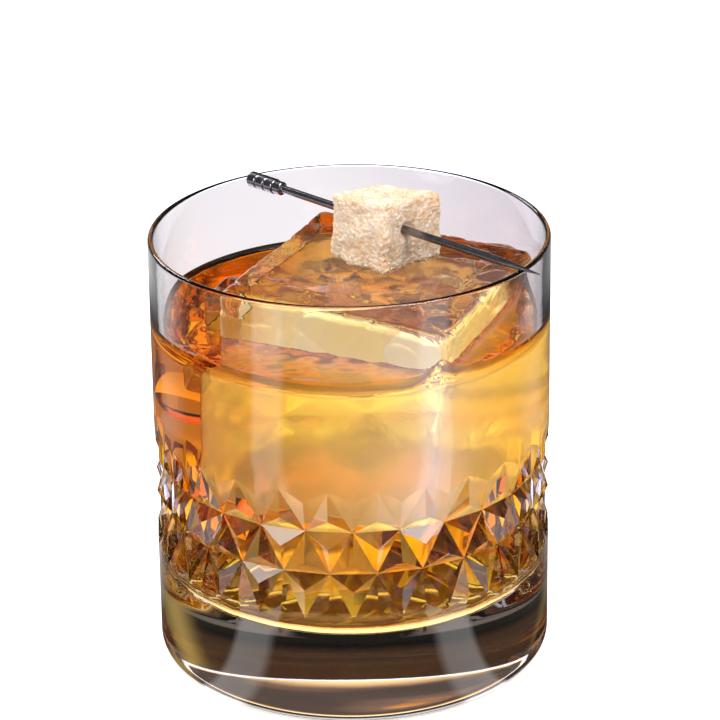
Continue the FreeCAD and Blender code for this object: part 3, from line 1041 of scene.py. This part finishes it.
def world_light(stage):
    """Soft light from all round; shiny things see softboxes in a dim room.

    Clear things see a bright low backdrop, a dark band over it and windows higher up. The dark band
    lies behind the drink only; at its sides the world is warm.
    """
    world = bpy.data.worlds.new("studio")
    bpy.context.scene.world = world
    finish = Finish("studio", world)
    path = finish.node("ShaderNodeLightPath")
    direction = finish.node("ShaderNodeTexCoord")["Generated"]
    parts = finish.axes(direction)
    heading = parts["X"].maths("ARCTAN2", parts["X"], parts["Y"])
    low = finish.ramp(
        parts["Z"], (0.17, 1.0), (0.235, 0.006), (0.316, 0.006), (0.322, (0.15, 0.12, 0.10)),
        (0.343, (0.15, 0.12, 0.10)), (0.35, 0.006), (0.39, 0.006), (0.43, (0.055, 0.028, 0.015)),
    )
    high = finish.ramp(
        parts["Z"], (0.57, 0.0), (0.63, (0.40, 0.50, 0.62)), (0.72, (0.60, 0.64, 0.62)), (0.85, (0.95, 0.66, 0.18)),
    )
    card = finish.smooth(heading.maths("ABSOLUTE", heading + 0.2), 1.2, 0.9)
    open_side = finish.ramp(0.5 * parts["Y"] + 0.5, (0.42, 0.0), (0.72, (0.42, 0.28, 0.08)))
    low = finish.mixed(card, open_side, low)
    through = finish.mixed(flags(finish, heading), low, finish.mixed(1.0, low, high, "ADD"))
    mirrored = finish.mixed(softboxes(finish, direction), 0.08, 1.2)
    colour = stage.daylight
    for seen, light in (
        (path["Is Transmission Ray"], through),
        (path["Is Glossy Ray"] * path["Is Reflection Ray"], mirrored),
        (path["Is Camera Ray"], 1.0),
    ):
        colour = finish.mixed(seen, colour, light)
    background = finish.node("ShaderNodeBackground", None, {"Color": colour, "Strength": 1.0})["Background"]
    finish.output(background, kind="ShaderNodeOutputWorld")


def lamp(name, place, size, power):
    """A round lamp, aimed at the axis 70 mm up and not seen through clear things."""
    data = bpy.data.lights.new(name, "AREA")
    data.shape = "DISK"
    data.size = size
    data.energy = power
    thing = bpy.data.objects.new(name, data)
    thing.location = place
    thing.rotation_euler = (Vector((0, 0, 70 * MM)) - Vector(place)).to_track_quat("-Z", "Y").to_euler()
    thing.visible_transmission = False
    bpy.context.scene.collection.objects.link(thing)


class MakeStage(bpy.types.Operator):
    """Makes the floor, the soft light and the camera"""
    bl_idname = "cocktail.stage"
    bl_label = "Stage"

    def execute(self, context):
        scene = context.scene
        stage = scene.cocktail_stage
        scene.view_settings.view_transform = "Standard"
        camera(stage)
        angles = np.arange(96) * 2 * math.pi / 96
        # a hair below the foot, so that the foot stays clear of it as a polished foot does
        grid = revolved(np.array([[0.0, -1e-4], [0.3, -1e-4], [1.2, -1e-4], [12.0, -1e-4]]), angles)
        floor = mesh_object("floor", grid, [grid_quads(4, 96)], False)
        floor.data.materials.append(floor_finish())
        world_light(stage)
        lamp("key_lamp", (0.55, -0.45, 0.75), 0.45, 4.8)
        lamp("back_lamp", (-0.5, 0.7, 0.6), 0.4, 3.0)
        lamp("fill_lamp", (-0.6, -0.5, 0.45), 0.5, 4.6)
        lamp("top_lamp", (0.0, -0.15, 0.9), 0.6, 2.0)
        scene.cycles.max_bounces = 32
        scene.cycles.transmission_bounces = 32
        scene.cycles.glossy_bounces = 8
        scene.cycles.transparent_max_bounces = 16
        return {"FINISHED"}


class CocktailPanel(bpy.types.Panel):
    """Lists the pieces and their settings"""
    bl_idname = "VIEW3D_PT_cocktail"
    bl_label = "Godfather Cocktail"
    bl_space_type = "VIEW_3D"
    bl_region_type = "UI"
    bl_category = "Cocktail"

    def draw(self, context):
        for operator, group in STEPS:
            box = self.layout.box()
            box.operator(operator.bl_idname)
            settings = getattr(context.scene, group)
            for name in SETTINGS[group].__annotations__:
                box.prop(settings, name)


STEPS = (
    (MakeStage, "cocktail_stage"),
    (MakeTumbler, "cocktail_tumbler"),
    (MakeIce, "cocktail_ice"),
    (MakeDrink, "cocktail_drink"),
    (MakePick, "cocktail_pick"),
    (MakeSugar, "cocktail_sugar"),
)
CLASSES = (*SETTINGS.values(), *(operator for operator, _ in STEPS), CocktailPanel)


def register():
    """Registers the classes and the settings"""
    for cls in CLASSES:
        bpy.utils.register_class(cls)
    for name, group in SETTINGS.items():
        setattr(bpy.types.Scene, name, PointerProperty(type=group))


def unregister():
    """Takes the settings and the classes away again"""
    for name in SETTINGS:
        delattr(bpy.types.Scene, name)
    for cls in reversed(CLASSES):
        bpy.utils.unregister_class(cls)


def main():
    """Makes every piece"""
    register()
    bpy.ops.cocktail.stage()
    bpy.ops.cocktail.tumbler()
    bpy.ops.cocktail.ice()
    bpy.ops.cocktail.drink()
    bpy.ops.cocktail.pick()
    bpy.ops.cocktail.sugar()


if __name__ == "__main__":
    main()
